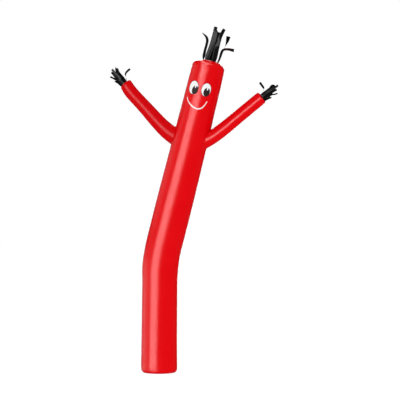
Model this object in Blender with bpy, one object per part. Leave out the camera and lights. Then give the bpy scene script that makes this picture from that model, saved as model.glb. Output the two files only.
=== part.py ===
"""Inflatable air dancer, standing inflated: a fan-blown nylon tube figure.

Metres, +Z up. The origin is the centre of the open base sleeve. The face
looks along -Y and the arms lie in the XZ plane. The body leans to +X.
"""
import math

import bmesh
import bpy
import numpy as np

CLOTH = 0.0020          # wall of the nylon sheet as a solid
RIBBON = 0.0015         # thickness of a streamer strip
GAP = 0.0003            # space between two sewn pieces
BODY_SIDES = 36
ARM_SIDES = 24

# Centreline of the body tube and its outer radius.
BODY = [
    # z,     x,      radius
    (0.000, 0.0000, 0.1400),
    (0.006, 0.0000, 0.1480),
    (0.016, -0.0003, 0.1537),
    (0.040, -0.0010, 0.1555),
    (0.080, -0.0016, 0.1560),
    (0.300, -0.0002, 0.1538),
    (0.600, 0.0029, 0.1523),
    (0.780, 0.0055, 0.1524),
    (0.880, 0.0079, 0.1557),
    (0.950, 0.0143, 0.1564),
    (1.020, 0.0254, 0.1558),
    (1.090, 0.0404, 0.1563),
    (1.160, 0.0582, 0.1567),
    (1.290, 0.0921, 0.1572),
    (1.500, 0.1464, 0.1567),
    (1.770, 0.2166, 0.1537),
    (2.050, 0.2886, 0.1506),
    (2.300, 0.3528, 0.1458),
    (2.500, 0.4041, 0.1430),
    (2.6136, 0.4320, 0.1400),
]
BODY_RINGS = [0.0, 0.006, 0.016, 0.04, 0.08, 0.25, 0.45, 0.62, 0.76, 0.83, 0.88, 0.93, 0.98,
              1.03, 1.08, 1.13, 1.19, 1.28, 1.50, 1.72, 1.95, 2.15, 2.32, 2.48, 2.6136]

# Centrelines of the sleeves from inside the body out to the hand.
ARM_LEFT = [
    # x,      z,      radius
    (0.1900, 1.9980, 0.0750),
    (0.1436, 2.0264, 0.0738),
    (0.0952, 2.0600, 0.0720),
    (0.0399, 2.1059, 0.0675),
    (-0.0151, 2.1613, 0.0645),
    (-0.0679, 2.2188, 0.0620),
    (-0.1160, 2.2722, 0.0596),
    (-0.1678, 2.3269, 0.0582),
    (-0.2194, 2.3814, 0.0580),
    (-0.2648, 2.4342, 0.0578),
    (-0.2960, 2.4820, 0.0555),
]
ARM_RIGHT = [
    # x,      z,      radius
    (0.2700, 1.9270, 0.0636),
    (0.3100, 1.9440, 0.0628),
    (0.3500, 1.9612, 0.0620),
    (0.3880, 1.9782, 0.0611),
    (0.4230, 1.9955, 0.0602),
    (0.4620, 2.0180, 0.0593),
    (0.5092, 2.0492, 0.0588),
    (0.5726, 2.0957, 0.0575),
    (0.6397, 2.1490, 0.0560),
    (0.7063, 2.2029, 0.0552),
    (0.7728, 2.2560, 0.0550),
    (0.8395, 2.3096, 0.0550),
    (0.8890, 2.3490, 0.0540),
]
HEAD_SHAPE = [
    # height over the seam, radius: the head panel bulges up to its vent
    (0.0140, 0.1372),
    (0.0290, 0.1270),
    (0.0420, 0.1110),
    (0.0530, 0.0900),
    (0.0605, 0.0690),
]
HAND_SHAPE = [
    # height over the sleeve, radius: a hand end gathers in to its vent
    (0.0050, 0.0530),
    (0.0105, 0.0460),
    (0.0130, 0.0355),
]
HEAD_SHIFT = 0.007      # how far the head vent sits off the panel's middle
HAND_SHIFT = 0.008      # how far the hand vent sits below the sleeve's middle
LEFT_TILT = -11.0       # degrees that the hand end is cut off square
RIGHT_TILT = 4.0
BAND_HEIGHT = 0.010     # tape that the strips are sewn to

# Strips: a row per strip with its place on the tape, then a row per section.
# side, out and front are millimetres from the middle of the tape, width is
# millimetres and turn is degrees about the strip.
HAIR = [
    ("A", 153, 25, [
        (-62, 30, 32, 32, 32), (-63, 78, 34, 34, 30), (-61, 125, 36, 34, 27),
        (-63, 166, 37, 32, 26), (-81, 194, 38, 27, 24), (-121, 219, 40, 9, 20)]),
    ("B", 107, 33, [
        (-20, 40, 67, 43, 10), (-7, 129, 70, 46, 9), (-2, 200, 69, 48, 10),
        (-3, 244, 68, 44, 20), (-10, 262, 66, 32, 32), (-11, 292, 64, 29, 38)]),
    ("C", 56, 33, [
        (41, 40, 59, 44, -2), (38, 109, 60, 44, -14), (39, 168, 59, 42, -34),
        (45, 223, 58, 34, -18), (64, 289, 58, 27, -6)]),
    ("D", 12, 25, [
        (73, 30, 15, 27, -15), (76, 60, 17, 26, -24), (79, 90, 18, 26, -28),
        (85, 112, 20, 26, -34), (103, 124, 22, 26, -40), (137, 131, 25, 26, -46),
        (183, 131, 30, 28, -56)]),
    ("E", -28, 25, [
        (64, 30, -33, 25, -20), (68, 82, -34, 24, -28), (81, 132, -34, 25, -28),
        (89, 168, -34, 28, 4), (94, 202, -34, 33, 38), (94, 242, -34, 37, 58)]),
    ("F", -97, 35, [
        (-15, 40, -68, 44, 0), (-10, 120, -66, 44, 0), (-10, 191, -64, 42, 0),
        (-6, 262, -62, 36, 0)]),
    ("G", -144, 24, [
        (-50, 30, -40, 25, 4), (-46, 70, -40, 24, -4), (-43, 113, -39, 24, -6),
        (-38, 170, -38, 26, -6), (-34, 222, -38, 26, -8)]),
]
LEFT_TUFT = [
    ("A", 30, 33, [
        (31, 22, 20, 22, -20), (33, 49, 24, 25, -36), (35, 106, 27, 27, -42),
        (48, 143, 28, 30, -42)]),
    ("B", 82, 33, [
        (8, 28, 39, 23, 0), (14, 57, 42, 25, 0), (16, 111, 45, 24, 0),
        (17, 163, 46, 17, 0)]),
    ("C", 133, 33, [
        (-19, 28, 27, 23, 18), (-12, 64, 28, 26, 30), (-5, 118, 29, 23, 32),
        (-6, 152, 30, 18, 32)]),
    ("D", 180, 32, [
        (-34, 26, 5, 19, -14), (-38, 46, 5, 17, -24), (-42, 62, 5, 14, -28),
        (-45, 76, 5, 9, -30)]),
    ("E", -121, 38, [
        (-20, 40, -30, 25, 0), (-23, 74, -28, 23, -4), (-33, 102, -29, 17, -8),
        (-48, 147, -31, 16, -15)]),
    ("F", -73, 38, [
        (12, 30, -36, 22, 0), (20, 72, -37, 21, 4), (27, 118, -38, 19, 8),
        (40, 174, -38, 11, 10)]),
    ("G", -28, 32, [
        (37, 16, -19, 18, -14), (47, 34, -21, 17, -12), (57, 50, -22, 17, -6),
        (66, 65, -24, 17, 22), (88, 71, -26, 17, 46), (125, 69, -28, 17, 52)]),
]
RIGHT_TUFT = [
    ("A", 147, 33, [
        (-27, 24, 19, 21, 22), (-26, 60, 20, 23, 28), (-26, 98, 22, 25, 32),
        (-32, 115, 22, 25, 40), (-32, 129, 22, 25, 46), (-23, 136, 19, 25, 50),
        (-10, 134, 15, 22, 56)]),
    ("B", 98, 37, [
        (-8, 26, 36, 22, 0), (-11, 58, 42, 23, 4), (-8, 92, 44, 23, 6),
        (-4, 133, 44, 19, 8), (-5, 172, 44, 14, 8)]),
    ("C", 48, 38, [
        (18, 26, 27, 22, -14), (10, 52, 31, 24, -30), (8, 82, 33, 25, -34),
        (11, 118, 34, 23, -34), (18, 142, 34, 15, -34)]),
    ("D", 0, 32, [
        (31, 24, 0, 19, -14), (22, 52, 0, 19, -30), (22, 82, 0, 18, -36),
        (34, 100, 0, 17, -40), (42, 126, 0, 16, -45)]),
    ("E", -58, 36, [
        (24, 18, -28, 20, 6), (25, 34, -42, 19, 10), (25, 47, -66, 17, 14),
        (26, 56, -98, 12, 18)]),
    ("F", -108, 44, [
        (-14, 24, -36, 27, 0), (-17, 74, -38, 24, 4), (-22, 98, -38, 24, 8),
        (-26, 118, -38, 24, 10), (-27, 130, -38, 20, 10)]),
    ("G", -152, 32, [
        (-37, 18, -18, 18, 20), (-50, 36, -20, 17, 28), (-61, 48, -22, 17, 22),
        (-75, 53, -24, 17, -8), (-98, 53, -26, 17, -28), (-127, 52, -28, 17, -32)]),
]


def clear_scene():
    for item in list(bpy.data.objects):
        bpy.data.objects.remove(item, do_unlink=True)


def material(name, colour, roughness):
    slot = bpy.data.materials.new(name)
    slot.use_nodes = True
    shader = slot.node_tree.nodes["Principled BSDF"]
    shader.inputs["Base Color"].default_value = (*colour, 1.0)
    shader.inputs["Roughness"].default_value = roughness
    slot.diffuse_color = (*colour, 1.0)
    return slot


def add_object(name, points, faces, slot):
    mesh = bpy.data.meshes.new(name)
    mesh.from_pydata([tuple(float(v) for v in p) for p in points], [], faces)
    mesh.update()
    shape = bmesh.new()
    shape.from_mesh(mesh)
    bmesh.ops.recalc_face_normals(shape, faces=shape.faces)
    shape.to_mesh(mesh)
    shape.free()
    for face in mesh.polygons:
        face.use_smooth = True
    item = bpy.data.objects.new(name, mesh)
    item.data.materials.append(slot)
    bpy.context.scene.collection.objects.link(item)
    return item


def catmull(rows, steps):
    """Smooth rows of numbers: steps points in each span, ends kept."""
    rows = np.array(rows, float)
    padded = np.vstack([2 * rows[0] - rows[1], rows, 2 * rows[-1] - rows[-2]])
    made = []
    for i in range(1, len(padded) - 2):
        a, b, c, d = padded[i - 1], padded[i], padded[i + 1], padded[i + 2]
        for k in range(steps):
            t = k / steps
            made.append(b + 0.5 * t * (c - a + t * (2 * a - 5 * b + 4 * c - d
                                                    + t * (3 * (b - c) + d - a))))
    made.append(padded[-2])
    return np.array(made)


def body_at(heights):
    """x and radius of the body tube at each height."""
    fine = catmull(BODY, 12)
    x = np.interp(heights, fine[:, 0], fine[:, 1])
    radius = np.interp(heights, fine[:, 0], fine[:, 2])
    return x, radius


def body_rows(grow):
    """Centre, axis and radius of each body ring."""
    x, radius = body_at(BODY_RINGS)
    rows = []
    for i, z in enumerate(BODY_RINGS):
        low, high = body_at([max(z - 0.02, 0.0), min(z + 0.02, BODY_RINGS[-1])])[0]
        span = min(z + 0.02, BODY_RINGS[-1]) - max(z - 0.02, 0.0)
        axis = np.array([high - low, 0.0, span])
        if i == 0:
            axis = np.array([0.0, 0.0, 1.0])
        rows.append((np.array([x[i], 0.0, z]), axis / np.linalg.norm(axis), radius[i] + grow))
    return rows


def sleeve_rows(table, tilt):
    """Centre, axis and radius of each sleeve ring out to the cuff."""
    line = np.array(table)
    steps = np.gradient(line, axis=0)
    rows = []
    for p, d in zip(line, steps):
        axis = np.array([d[0], 0.0, d[1]])
        rows.append((np.array([p[0], 0.0, p[1]]), axis / np.linalg.norm(axis), p[2]))
    for back, share in ((1, 1.0), (2, 0.45)):
        centre, axis, radius = rows[-back]
        a = math.radians(tilt * share)
        turned = np.array([axis[0] * math.cos(a) + axis[2] * math.sin(a), 0.0,
                           axis[2] * math.cos(a) - axis[0] * math.sin(a)])
        rows[-back] = (centre, turned, radius)
    return rows


def dome_rows(last, shape, shift):
    """Rings that round the end of a tube over to its vent."""
    centre, axis, radius = last
    vent = shape[-1][1]
    down = np.cross(axis, [0.0, 1.0, 0.0])
    if down[2] > 0:
        down = -down
    rows = []
    for height, size in shape:
        share = (radius - size) / (radius - vent)
        rows.append((centre + axis * height + down * shift * share, axis, size))
    return rows


def ring_points(row, sides, grow=0.0):
    """A ring of points square to the row's axis; the first is at the front."""
    centre, axis, radius = row
    front = np.array([0.0, -1.0, 0.0])
    side = np.cross(axis, front)
    side = -side / np.linalg.norm(side)
    made = []
    for k in range(sides):
        a = 2 * math.pi * k / sides
        made.append(centre + (radius + grow) * (front * math.cos(a) + side * math.sin(a)))
    return made


def hollow(name, rows, sides, wall, slot):
    """A tube with a wall, open at both ends; rows give its outer skin."""
    rings = len(rows)
    offsets = []
    for i, (centre, axis, radius) in enumerate(rows):
        before = rows[max(i - 1, 0)]
        after = rows[min(i + 1, rings - 1)]
        run = float(np.dot(after[0] - before[0], axis))
        rise = after[2] - before[2]
        length = math.hypot(run, rise)
        offsets.append((-wall * run / length, wall * rise / length))
    offsets[0] = (-wall, 0.0)
    points = []
    for row in rows:
        points += ring_points(row, sides)
    for (centre, axis, radius), (inward, along) in zip(rows, offsets):
        points += ring_points((centre + axis * along, axis, radius + inward), sides)
    inner = rings * sides
    faces = []
    for i in range(rings - 1):
        for k in range(sides):
            a = i * sides + k
            b = i * sides + (k + 1) % sides
            faces.append((a, b, b + sides, a + sides))
            faces.append((inner + a, inner + a + sides, inner + b + sides, inner + b))
    top = (rings - 1) * sides
    for k in range(sides):
        n = (k + 1) % sides
        faces.append((k, inner + k, inner + n, n))
        faces.append((top + k, top + n, inner + top + n, inner + top + k))
    return add_object(name, points, faces, slot)


def filled(name, rows, sides, slot):
    """The same tube as one solid, used only to cut others."""
    points = []
    for row in rows:
        points += ring_points(row, sides)
    faces = [tuple(range(sides))]
    for i in range(len(rows) - 1):
        for k in range(sides):
            a = i * sides + k
            b = i * sides + (k + 1) % sides
            faces.append((a, b, b + sides, a + sides))
    top = (len(rows) - 1) * sides
    faces.append(tuple(top + k for k in range(sides)))
    item = add_object(name, points, faces, slot)
    item.hide_render = True
    item.display_type = "WIRE"
    return item


def cut(item, tool):
    change = item.modifiers.new("cut_" + tool.name, "BOOLEAN")
    change.operation = "DIFFERENCE"
    change.solver = "EXACT"
    change.object = tool


def strip_sections(base, frame, row, radius):
    """Four corners of every section of one strip, from the tape outward."""
    centre, side, out, front = frame
    name, place, spread, table = row
    a = math.radians(place)
    radial = side * math.cos(a) + front * math.sin(a)
    first = radial * (radius - RIBBON / 2) * 1000
    root = [float(np.dot(first, side)), 0.0, float(np.dot(first, front)), base, 0.0]
    line = catmull([root] + [list(r) for r in table], 3)
    places = [centre + (side * p[0] + out * p[1] + front * p[2]) / 1000 for p in line]
    across = side * math.sin(a) - front * math.cos(a)
    sections = []
    for i, p in enumerate(places):
        if i == 0:
            tangent = out
        elif i == len(places) - 1:
            tangent = places[i] - places[i - 1]
        else:
            tangent = places[i + 1] - places[i - 1]
        tangent = tangent / np.linalg.norm(tangent)
        across = across - tangent * float(np.dot(across, tangent))
        across = across / np.linalg.norm(across)
        normal = np.cross(tangent, across)
        turn = math.radians(line[i][4])
        wide = across * math.cos(turn) + normal * math.sin(turn)
        thick = np.cross(tangent, wide)
        half = wide * line[i][3] / 2000
        deep = thick * RIBBON / 2
        sections.append([p - half - deep, p + half - deep, p + half + deep, p - half + deep])
    return sections


def tuft(name, end, radius, strips, slot):
    """A ring of tape with strips growing out of its upper edge."""
    centre, axis = end
    front = np.array([0.0, -1.0, 0.0])
    side = np.cross(front, axis)
    side = side / np.linalg.norm(side)
    if side[0] < 0:
        side = -side
    edges = []
    for row in strips:
        edges.append((row[1] - row[2] / 2, row[0]))
        edges.append((row[1] + row[2] / 2, None))
    edges = sorted(((angle % 360, label) for angle, label in edges), key=lambda e: e[0])
    angles = []
    for i, (angle, label) in enumerate(edges):
        following = edges[(i + 1) % len(edges)][0]
        room = (following - angle) % 360
        pieces = 1 if label else max(1, int(math.ceil(room / 14.0)))
        for k in range(pieces):
            angles.append((angle + room * k / pieces, label if k == 0 else None))
    count = len(angles)
    points = []
    for layer, drop in ((radius, 0.0), (radius - RIBBON, 0.0),
                        (radius - RIBBON, BAND_HEIGHT), (radius, BAND_HEIGHT)):
        for angle, label in angles:
            a = math.radians(angle)
            radial = side * math.cos(a) + front * math.sin(a)
            points.append(centre + radial * layer - axis * drop)
    faces = []
    roots = {}
    for k in range(count):
        n = (k + 1) % count
        if angles[k][1]:
            roots[angles[k][1]] = (k, n)
        else:
            faces.append((k, n, count + n, count + k))
        faces.append((count + k, count + n, 2 * count + n, 2 * count + k))
        faces.append((2 * count + k, 2 * count + n, 3 * count + n, 3 * count + k))
        faces.append((3 * count + k, 3 * count + n, n, k))
    for row in strips:
        k, n = roots[row[0]]
        chord = 2000 * radius * math.sin(math.radians(row[2] / 2))
        sections = strip_sections(chord, (centre, side, axis, front), row, radius)
        ring = [n, k, count + k, count + n]
        spots = [points[i] for i in ring]
        target = sections[1]
        best = min(((sum(float(np.linalg.norm(spots[i] - target[(s + d * i) % 4]))
                         for i in range(4)), s, d)
                    for s in range(4) for d in (1, -1)), key=lambda e: e[0])
        order = [(best[1] + best[2] * i) % 4 for i in range(4)]
        previous = ring
        for section in sections[1:]:
            current = []
            for i in order:
                current.append(len(points))
                points.append(section[i])
            for i in range(4):
                j = (i + 1) % 4
                faces.append((previous[i], previous[j], current[j], current[i]))
            previous = current
        faces.append(tuple(previous))
    return add_object(name, points, faces, slot)


def main():
    clear_scene()
    red = (0.76, 0.004, 0.012)
    black = (0.006, 0.006, 0.007)
    nylon_body = material("nylon_body", red, 0.35)
    nylon_head = material("nylon_head", red, 0.35)
    nylon_left = material("nylon_arm_left", red, 0.35)
    nylon_right = material("nylon_arm_right", red, 0.35)
    ribbon_hair = material("ribbon_hair", black, 0.3)
    ribbon_left = material("ribbon_left_hand", black, 0.3)
    ribbon_right = material("ribbon_right_hand", black, 0.3)

    outer = body_rows(0.0)
    body = hollow("body_tube", outer, BODY_SIDES, CLOTH, nylon_body)

    seam_centre, seam_axis, seam_radius = outer[-1]
    cap_start = (seam_centre + seam_axis * GAP, seam_axis, seam_radius)
    cap_rows = [cap_start] + dome_rows(cap_start, HEAD_SHAPE, HEAD_SHIFT)
    hollow("head_panel", cap_rows, BODY_SIDES, CLOTH, nylon_head)

    skin = filled("cut_body", body_rows(GAP), BODY_SIDES, nylon_body)
    hands = {}
    for name, table, tilt, slot in (("arm_left", ARM_LEFT, LEFT_TILT, nylon_left),
                                    ("arm_right", ARM_RIGHT, RIGHT_TILT, nylon_right)):
        rows = sleeve_rows(table, tilt)
        rows += dome_rows(rows[-1], HAND_SHAPE, HAND_SHIFT)
        sleeve = hollow(name, rows, ARM_SIDES, CLOTH, slot)
        cut(sleeve, skin)
        way = []
        for centre, axis, radius in sleeve_rows(table[:-2], 0.0):
            way.append((centre, axis, radius - 0.008))
        hole = filled("cut_" + name, way, ARM_SIDES, slot)
        cut(body, hole)
        hands[name] = rows

    for name, rows, strips, slot in (
            ("hair_strips", cap_rows, HAIR, ribbon_hair),
            ("strips_left_hand", hands["arm_left"], LEFT_TUFT, ribbon_left),
            ("strips_right_hand", hands["arm_right"], RIGHT_TUFT, ribbon_right)):
        low, top = rows[-2], rows[-1]
        run = float(np.dot(top[0] - low[0], top[1]))
        edge = CLOTH * run / math.hypot(run, top[2] - low[2])
        tuft(name, (top[0], top[1]), top[2] - edge - GAP, strips, slot)


main()
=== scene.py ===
"""Looks of the inflatable air dancer: sewn red nylon tubes with black streamers.

Metres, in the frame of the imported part: +Z up, the face looks along -Y, the
arms lie in the XZ plane and the body leans to +X.
"""

import math

import bpy
import numpy as np
from mathutils import Matrix


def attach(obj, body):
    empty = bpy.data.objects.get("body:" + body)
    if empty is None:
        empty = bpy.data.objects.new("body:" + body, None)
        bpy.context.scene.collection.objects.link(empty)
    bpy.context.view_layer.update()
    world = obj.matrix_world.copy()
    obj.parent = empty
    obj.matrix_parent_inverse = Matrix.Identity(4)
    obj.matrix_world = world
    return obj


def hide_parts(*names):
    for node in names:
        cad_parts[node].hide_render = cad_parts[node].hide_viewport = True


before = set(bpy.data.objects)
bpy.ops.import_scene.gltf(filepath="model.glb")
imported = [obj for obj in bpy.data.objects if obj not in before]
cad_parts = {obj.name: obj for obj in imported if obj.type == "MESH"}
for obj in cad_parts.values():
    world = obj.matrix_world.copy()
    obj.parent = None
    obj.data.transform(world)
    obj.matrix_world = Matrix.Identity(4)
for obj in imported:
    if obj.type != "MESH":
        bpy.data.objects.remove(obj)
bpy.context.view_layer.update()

FRONT = np.array([0.0, -1.0, 0.0])
NYLON = 0.0006          # shown thickness of the nylon sheet
RIBBON = 0.0005         # shown thickness of a streamer
BODY_SIDES = 144
ARM_SIDES = 72
SLEEVE_RINGS = 78
TAPE_SIDES = 96
STRIP_POINTS = 7        # points across a streamer
STITCH_STEPS = 180      # points of a line of stitches round a tube
HEM = 0.025             # depth of the base hem
FOOT = -0.0035          # lower edge of the cloth, as low as in the photograph
FLOOR = -0.0045
LEVEL_BELOW = 0.06      # height under which the rings turn level
RIPSTOP = 0.0055        # pitch of the heavier threads in the nylon
TAPE_PITCH = 0.0016
THREAD_PITCH = 0.0006
THREAD_BUMP = 0.00004
TAPE_BUMP = 0.0001

# Camera of the photograph: level, 12 degrees round to the +X side.
CAMERA_TURN = math.radians(12.0)
CAMERA_AT = (2.8389, -11.6647, 1.4818)
CAMERA_LENS = 125.0

# Centreline of the body tube and its outer radius, as in the part.
BODY = [
    # z,     x,      radius
    (0.000, 0.0000, 0.1400),
    (0.006, 0.0000, 0.1480),
    (0.016, -0.0003, 0.1537),
    (0.040, -0.0010, 0.1555),
    (0.080, -0.0016, 0.1560),
    (0.300, -0.0002, 0.1538),
    (0.600, 0.0029, 0.1523),
    (0.780, 0.0055, 0.1524),
    (0.880, 0.0079, 0.1557),
    (0.950, 0.0143, 0.1564),
    (1.020, 0.0254, 0.1558),
    (1.090, 0.0404, 0.1563),
    (1.160, 0.0582, 0.1567),
    (1.290, 0.0921, 0.1572),
    (1.500, 0.1464, 0.1567),
    (1.770, 0.2166, 0.1537),
    (2.050, 0.2886, 0.1506),
    (2.300, 0.3528, 0.1458),
    (2.500, 0.4041, 0.1430),
    (2.6136, 0.4320, 0.1400),
]
TOP = BODY[-1][0]

# Centrelines of the sleeves from inside the body out to the hand.
ARM_LEFT = [
    # x,      z,      radius
    (0.1900, 1.9980, 0.0750),
    (0.1436, 2.0264, 0.0738),
    (0.0952, 2.0600, 0.0720),
    (0.0399, 2.1059, 0.0675),
    (-0.0151, 2.1613, 0.0645),
    (-0.0679, 2.2188, 0.0620),
    (-0.1160, 2.2722, 0.0596),
    (-0.1678, 2.3269, 0.0582),
    (-0.2194, 2.3814, 0.0580),
    (-0.2648, 2.4342, 0.0578),
    (-0.2960, 2.4820, 0.0555),
]
ARM_RIGHT = [
    # x,      z,      radius
    (0.2700, 1.9270, 0.0636),
    (0.3100, 1.9440, 0.0628),
    (0.3500, 1.9612, 0.0620),
    (0.3880, 1.9782, 0.0611),
    (0.4230, 1.9955, 0.0602),
    (0.4620, 2.0180, 0.0593),
    (0.5092, 2.0492, 0.0588),
    (0.5726, 2.0957, 0.0575),
    (0.6397, 2.1490, 0.0560),
    (0.7063, 2.2029, 0.0552),
    (0.7728, 2.2560, 0.0550),
    (0.8395, 2.3096, 0.0550),
    (0.8890, 2.3490, 0.0540),
]
HEAD_SHAPE = [
    # height over the seam, radius
    (0.0140, 0.1372),
    (0.0290, 0.1270),
    (0.0420, 0.1110),
    (0.0530, 0.0900),
    (0.0605, 0.0690),
]
HAND_SHAPE = [
    # height over the sleeve, radius
    (0.0050, 0.0530),
    (0.0105, 0.0460),
    (0.0130, 0.0355),
]
HEAD_SHIFT = 0.007      # how far the head vent sits off the panel's middle
HAND_SHIFT = 0.008      # how far the hand vent sits below the sleeve's middle
LEFT_TILT = -11.0       # degrees that the hand end is turned
RIGHT_TILT = 4.0
SEAM_TURN = {"left": math.radians(195), "right": math.radians(165)}
CLOTH = 0.0020          # wall of the part's solids, which the tape sits inside
GAP = 0.0003            # space between two sewn pieces
BAND_HEIGHT = 0.010     # tape that the strips are sewn to

# Strips: a row per strip with its place and spread on the tape in degrees,
# then a row per section: side, out, front, width in millimetres, turn in degrees.
HAIR = [
    ("A", 153, 25, [
        (-62, 30, 32, 32, 32), (-63, 78, 34, 34, 30), (-61, 125, 36, 34, 27),
        (-63, 166, 37, 32, 26), (-81, 194, 38, 27, 24), (-121, 219, 40, 9, 20)]),
    ("B", 107, 33, [
        (-20, 40, 67, 43, 10), (-7, 129, 70, 46, 9), (-2, 200, 69, 48, 10),
        (-3, 244, 68, 44, 20), (-10, 262, 66, 32, 32), (-11, 292, 64, 29, 38)]),
    ("C", 56, 33, [
        (41, 40, 59, 44, -2), (38, 109, 60, 44, -14), (39, 168, 59, 42, -34),
        (45, 223, 58, 34, -18), (64, 289, 58, 27, -6)]),
    ("D", 12, 25, [
        (73, 30, 15, 27, -15), (76, 60, 17, 26, -24), (79, 90, 18, 26, -28),
        (85, 112, 20, 26, -34), (103, 124, 22, 26, -40), (137, 131, 25, 26, -46),
        (183, 131, 30, 28, -56)]),
    ("E", -28, 25, [
        (64, 30, -33, 25, -20), (68, 82, -34, 24, -28), (81, 132, -34, 25, -28),
        (89, 168, -34, 28, 4), (94, 202, -34, 33, 38), (94, 242, -34, 37, 58)]),
    ("F", -97, 35, [
        (-15, 40, -68, 44, 0), (-10, 120, -66, 44, 0), (-10, 191, -64, 42, 0),
        (-6, 262, -62, 36, 0)]),
    ("G", -144, 24, [
        (-50, 30, -40, 25, 4), (-46, 70, -40, 24, -4), (-43, 113, -39, 24, -6),
        (-38, 170, -38, 26, -6), (-34, 222, -38, 26, -8)]),
]
LEFT_TUFT = [
    ("A", 30, 33, [
        (31, 22, 20, 22, -20), (33, 49, 24, 25, -36), (35, 106, 27, 27, -42),
        (48, 143, 28, 30, -42)]),
    ("B", 82, 33, [
        (8, 28, 39, 23, 0), (14, 57, 42, 25, 0), (16, 111, 45, 24, 0),
        (17, 163, 46, 17, 0)]),
    ("C", 133, 33, [
        (-19, 28, 27, 23, 18), (-12, 64, 28, 26, 30), (-5, 118, 29, 23, 32),
        (-6, 152, 30, 18, 32)]),
    ("D", 180, 32, [
        (-30, 30, 5, 19, -36), (-33, 51, 5, 17, -50), (-37, 67, 5, 15, -55),
        (-41, 82, 5, 9, -60)]),
    ("E", -121, 38, [
        (-20, 40, -30, 25, 0), (-23, 74, -28, 23, -4), (-33, 102, -29, 17, -8),
        (-48, 147, -31, 16, -15)]),
    ("F", -73, 38, [
        (12, 30, -36, 22, 0), (20, 72, -37, 21, 4), (27, 118, -38, 19, 8),
        (40, 174, -38, 11, 10)]),
    ("G", -28, 32, [
        (37, 16, -19, 18, -14), (47, 34, -21, 17, -12), (57, 50, -22, 17, -6),
        (66, 65, -24, 18, 44), (88, 71, -26, 19, 66), (125, 69, -28, 19, 70)]),
]
RIGHT_TUFT = [
    ("A", 147, 33, [
        (-27, 24, 19, 21, 22), (-26, 60, 20, 23, 28), (-26, 98, 22, 25, 32),
        (-32, 115, 22, 25, 40), (-32, 129, 22, 25, 46), (-23, 136, 19, 25, 50),
        (-10, 134, 15, 22, 56)]),
    ("B", 98, 37, [
        (-8, 26, 36, 22, 0), (-11, 58, 42, 23, 4), (-8, 92, 44, 23, 6),
        (-4, 133, 44, 20, 8), (-5, 172, 44, 19, 8)]),
    ("C", 48, 38, [
        (18, 26, 27, 22, -14), (10, 52, 31, 24, -30), (8, 82, 33, 25, -34),
        (11, 118, 34, 23, -34), (18, 142, 34, 15, -34)]),
    ("D", 0, 32, [
        (31, 24, 0, 19, -14), (22, 52, 0, 19, -30), (22, 82, 0, 18, -36),
        (34, 100, 0, 17, -40), (42, 126, 0, 16, -45)]),
    ("E", -58, 36, [
        (24, 18, -28, 20, 6), (25, 34, -42, 19, 10), (25, 47, -66, 17, 14),
        (26, 56, -98, 12, 18)]),
    ("F", -108, 44, [
        (-14, 24, -36, 27, 0), (-17, 74, -38, 24, 4), (-22, 98, -38, 24, 8),
        (-26, 118, -38, 24, 10), (-27, 130, -38, 20, 10)]),
    ("G", -152, 32, [
        (-37, 18, -18, 18, 20), (-50, 36, -20, 17, 28), (-61, 48, -22, 17, 22),
        (-75, 53, -24, 18, -42), (-98, 53, -26, 19, -72), (-127, 52, -28, 19, -80)]),
]

# The printed face, in millimetres on the cloth: round is measured round the
# tube from its front line, toward +X; up is along the tube from FACE_AT.
FACE_AT = 2.400
EYES = [
    # name,     round, up, half width, half height, lean in degrees
    ("left", -57, 27, 44, 56, 0),
    ("right", 59, 31, 40, 55, 0),
]
PUPILS = [
    # name,     round, up, half width, half height, lean in degrees
    ("left", -37, 8, 28, 38, 8),
    ("right", 67, 13, 27, 38, 8),
]
GLINTS = [
    # name,     round, up, half width, half height
    ("left", -37, 40, 6, 16),
    ("right", 69, 44, 6, 16),
]
EYE_LINE = 4.0          # width of the dark line round an eye
SMILE = [
    # round, up, width
    (-96, -68, 8),
    (-88, -83, 8),
    (-71, -100, 9),
    (-40, -123, 11),
    (-5, -139, 12),
    (30, -142, 12),
    (59, -127, 10),
    (78, -98, 8),
    (90, -65, 7),
]


def unit(v):
    """The vector at a length of one."""
    return v / np.linalg.norm(v)


def catmull(rows, steps):
    """Smooth rows of numbers: steps points in each span, ends kept."""
    rows = np.array(rows, float)
    padded = np.vstack([2 * rows[0] - rows[1], rows, 2 * rows[-1] - rows[-2]])
    made = []
    for i in range(1, len(padded) - 2):
        a, b, c, d = padded[i - 1], padded[i], padded[i + 1], padded[i + 2]
        for k in range(steps):
            t = k / steps
            made.append(b + 0.5 * t * (c - a + t * (2 * a - 5 * b + 4 * c - d
                                                    + t * (3 * (b - c) + d - a))))
    made.append(padded[-2])
    return np.array(made)


SPINE = catmull(BODY, 12)


def spine(z):
    """Centre, axis and outer radius of the body tube at a height."""
    x = float(np.interp(z, SPINE[:, 0], SPINE[:, 1]))
    radius = float(np.interp(z, SPINE[:, 0], SPINE[:, 2]))
    low, high = max(z - 0.02, 0.0), min(z + 0.02, TOP)
    ends = np.interp([low, high], SPINE[:, 0], SPINE[:, 1])
    axis = unit(np.array([ends[1] - ends[0], 0.0, high - low]))
    return np.array([x, 0.0, z]), axis, radius


def wave(a, seed, counts):
    """Irregular waves round a closed line: whole counts, steady phases."""
    total = np.zeros_like(a)
    for i, count in enumerate(counts):
        total = total + np.cos(count * a + seed * 2.399 + i * 1.7)
    return total / len(counts)


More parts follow.
